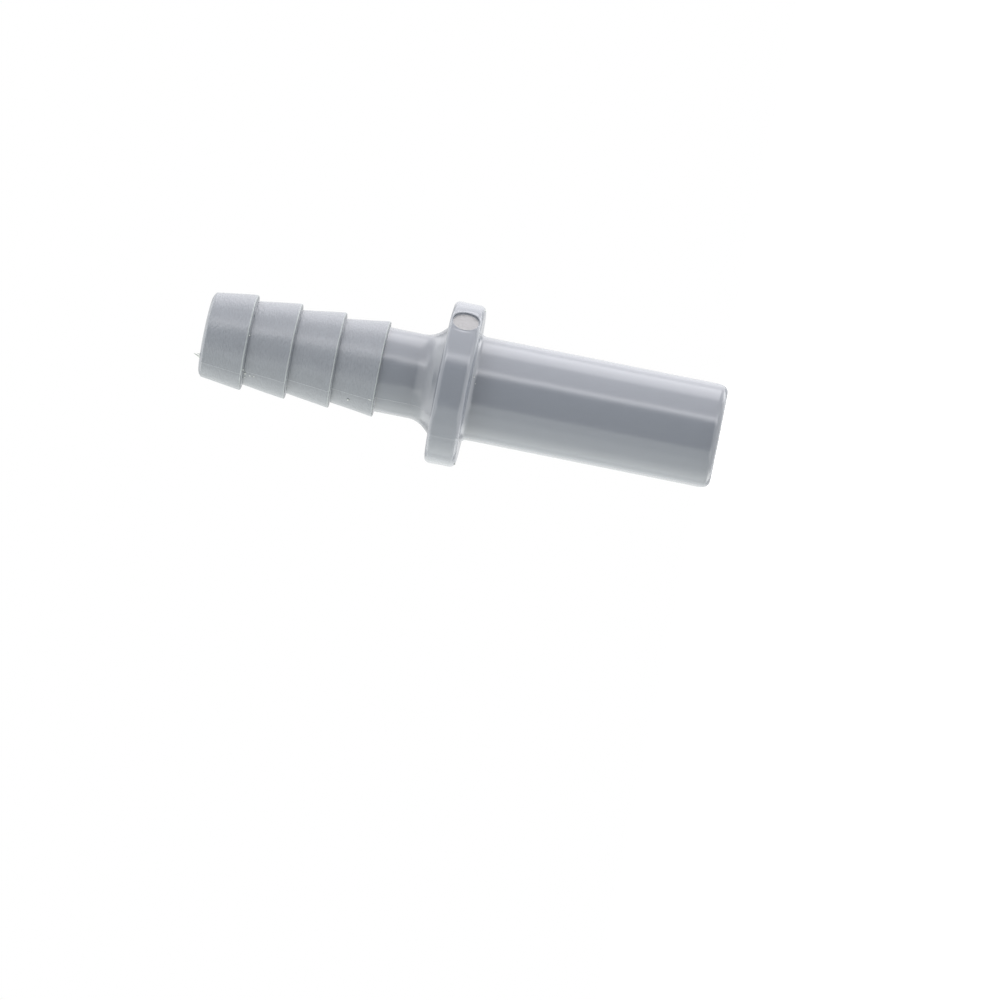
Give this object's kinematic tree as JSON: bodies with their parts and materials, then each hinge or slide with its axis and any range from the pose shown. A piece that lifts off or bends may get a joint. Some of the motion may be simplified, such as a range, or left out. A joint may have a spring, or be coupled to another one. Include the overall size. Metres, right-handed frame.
{
  "type": "stem to barb connector",
  "caption": "Moulded plastic tube adapter: a plain round push-in stem, a round stop collar, a flared neck and a hose barb tail on one straight flow passage.",
  "frame": {"origin": "centre of the stem's flat end face, on which the connector stands", "axes": "+Z along the flow passage from the stem end to the barbed tip; the gate recess on the collar's rim faces -Y"},
  "size_m": [0.0148, 0.0148, 0.0474],
  "materials": {
    "grey_plastic": "satin moulded acetal"
  },
  "bodies": {
    "root": {"connector_body": "grey_plastic"}
  },
  "joints": []
}
